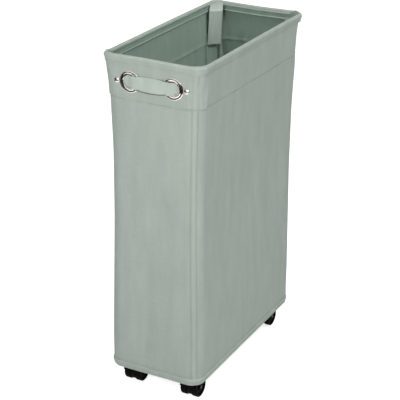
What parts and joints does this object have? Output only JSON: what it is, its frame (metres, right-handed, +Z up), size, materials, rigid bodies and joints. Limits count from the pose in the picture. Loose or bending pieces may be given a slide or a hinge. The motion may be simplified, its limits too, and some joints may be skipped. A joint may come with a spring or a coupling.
{
  "type": "laundry bin on casters",
  "caption": "Slim open-topped fabric laundry bin with a wire-stiffened flared rim, corner rods, a strap handle through metal eyelets and low swivel casters.",
  "frame": {"origin": "on the floor under the middle of the bag", "axes": "+Z up, X across the narrow faces, the front handle faces -Y"},
  "size_m": [0.185, 0.4, 0.612],
  "materials": {
    "bag_cloth": "woven polyester, sage grey",
    "hook_tape": "hook tape",
    "frame_steel": "bright drawn wire",
    "plated_metal": "polished nickel plate",
    "base_hardboard": "pressed board",
    "cap_plastic": "moulded",
    "caster_plastic": "moulded black",
    "caster_plate_paint": "black lacquer",
    "wheel_plastic": "hard black nylon",
    "caster_steel": "zinc plated"
  },
  "bodies": {
    "bag": {"front_panel": "bag_cloth", "rear_panel": "bag_cloth", "left_panel": "bag_cloth", "right_panel": "bag_cloth", "hem_facings": "bag_cloth", "rim_casing": "bag_cloth", "base_binding": "bag_cloth", "base_cloth": "bag_cloth", "rod_pockets": "bag_cloth", "front_strap_tails": "bag_cloth", "front_left_corner_strip": "bag_cloth", "front_right_corner_strip": "bag_cloth", "rear_left_corner_strip": "bag_cloth", "rear_right_corner_strip": "bag_cloth", "hook_patches": "hook_tape", "rim_wire": "frame_steel", "rim_ferrule": "frame_steel", "front_left_corner_rod": "frame_steel", "front_right_corner_rod": "frame_steel", "rear_left_corner_rod": "frame_steel", "rear_right_corner_rod": "frame_steel", "front_eyelets": "plated_metal", "front_eyelet_washers": "plated_metal", "front_rivets": "plated_metal", "base_board": "base_hardboard", "rod_caps": "cap_plastic", "front_left_caster_plate": "caster_plate_paint", "front_right_caster_plate": "caster_plate_paint", "rear_left_caster_plate": "caster_plate_paint", "rear_right_caster_plate": "caster_plate_paint", "kingpins": "caster_steel", "caster_screws": "caster_steel"},
    "front_handle": {"front_strap": "bag_cloth"},
    "front_left_tab": {"front_left_corner_tab": "bag_cloth"},
    "front_right_tab": {"front_right_corner_tab": "bag_cloth"},
    "rear_left_tab": {"rear_left_corner_tab": "bag_cloth"},
    "rear_right_tab": {"rear_right_corner_tab": "bag_cloth"},
    "front_left_caster": {"front_left_caster_housing": "caster_plastic", "front_left_caster_axle": "caster_steel"},
    "front_left_left_roller": {"front_left_left_wheel": "wheel_plastic"},
    "front_left_right_roller": {"front_left_right_wheel": "wheel_plastic"},
    "front_right_caster": {"front_right_caster_housing": "caster_plastic", "front_right_caster_axle": "caster_steel"},
    "front_right_left_roller": {"front_right_left_wheel": "wheel_plastic"},
    "front_right_right_roller": {"front_right_right_wheel": "wheel_plastic"},
    "rear_left_caster": {"rear_left_caster_housing": "caster_plastic", "rear_left_caster_axle": "caster_steel"},
    "rear_left_left_roller": {"rear_left_left_wheel": "wheel_plastic"},
    "rear_left_right_roller": {"rear_left_right_wheel": "wheel_plastic"},
    "rear_right_caster": {"rear_right_caster_housing": "caster_plastic", "rear_right_caster_axle": "caster_steel"},
    "rear_right_left_roller": {"rear_right_left_wheel": "wheel_plastic"},
    "rear_right_right_roller": {"rear_right_right_wheel": "wheel_plastic"}
  },
  "joints": [
    {"name": "front_handle_pull", "type": "slide", "parent": "bag", "child": "front_handle", "axis": [0, -0.9983, -0.0582], "range_m": [0, 0.01], "deforming": ["front_strap_tails"]},
    {"name": "front_left_tab_fold", "type": "hinge", "parent": "bag", "child": "front_left_tab", "pos_m": [-0.07365, -0.18115, 0.606], "axis": [0.7071, -0.7071, 0], "range_deg": [0, 95]},
    {"name": "front_right_tab_fold", "type": "hinge", "parent": "bag", "child": "front_right_tab", "pos_m": [0.07365, -0.18115, 0.606], "axis": [0.7071, 0.7071, 0], "range_deg": [0, 95]},
    {"name": "rear_left_tab_fold", "type": "hinge", "parent": "bag", "child": "rear_left_tab", "pos_m": [-0.07365, 0.18115, 0.606], "axis": [-0.7071, -0.7071, 0], "range_deg": [0, 95]},
    {"name": "rear_right_tab_fold", "type": "hinge", "parent": "bag", "child": "rear_right_tab", "pos_m": [0.07365, 0.18115, 0.606], "axis": [-0.7071, 0.7071, 0], "range_deg": [0, 95]},
    {"name": "front_left_swivel", "type": "hinge", "parent": "bag", "child": "front_left_caster", "pos_m": [-0.0565, -0.139, 0.018], "axis": [0, 0, 1], "continuous": true},
    {"name": "front_left_left_spin", "type": "hinge", "parent": "front_left_caster", "child": "front_left_left_roller", "pos_m": [-0.0565, -0.149, 0.018], "axis": [1, 0, 0], "continuous": true},
    {"name": "front_left_right_spin", "type": "hinge", "parent": "front_left_caster", "child": "front_left_right_roller", "pos_m": [-0.0565, -0.149, 0.018], "axis": [1, 0, 0], "continuous": true},
    {"name": "front_right_swivel", "type": "hinge", "parent": "bag", "child": "front_right_caster", "pos_m": [0.0565, -0.139, 0.018], "axis": [0, 0, 1], "continuous": true},
    {"name": "front_right_left_spin", "type": "hinge", "parent": "front_right_caster", "child": "front_right_left_roller", "pos_m": [0.0565, -0.149, 0.018], "axis": [1, 0, 0], "continuous": true},
    {"name": "front_right_right_spin", "type": "hinge", "parent": "front_right_caster", "child": "front_right_right_roller", "pos_m": [0.0565, -0.149, 0.018], "axis": [1, 0, 0], "continuous": true},
    {"name": "rear_left_swivel", "type": "hinge", "parent": "bag", "child": "rear_left_caster", "pos_m": [-0.0565, 0.139, 0.018], "axis": [0, 0, 1], "continuous": true},
    {"name": "rear_left_left_spin", "type": "hinge", "parent": "rear_left_caster", "child": "rear_left_left_roller", "pos_m": [-0.0565, 0.149, 0.018], "axis": [1, 0, 0], "continuous": true},
    {"name": "rear_left_right_spin", "type": "hinge", "parent": "rear_left_caster", "child": "rear_left_right_roller", "pos_m": [-0.0565, 0.149, 0.018], "axis": [1, 0, 0], "continuous": true},
    {"name": "rear_right_swivel", "type": "hinge", "parent": "bag", "child": "rear_right_caster", "pos_m": [0.0565, 0.139, 0.018], "axis": [0, 0, 1], "continuous": true},
    {"name": "rear_right_left_spin", "type": "hinge", "parent": "rear_right_caster", "child": "rear_right_left_roller", "pos_m": [0.0565, 0.149, 0.018], "axis": [1, 0, 0], "continuous": true},
    {"name": "rear_right_right_spin", "type": "hinge", "parent": "rear_right_caster", "child": "rear_right_right_roller", "pos_m": [0.0565, 0.149, 0.018], "axis": [1, 0, 0], "continuous": true}
  ]
}
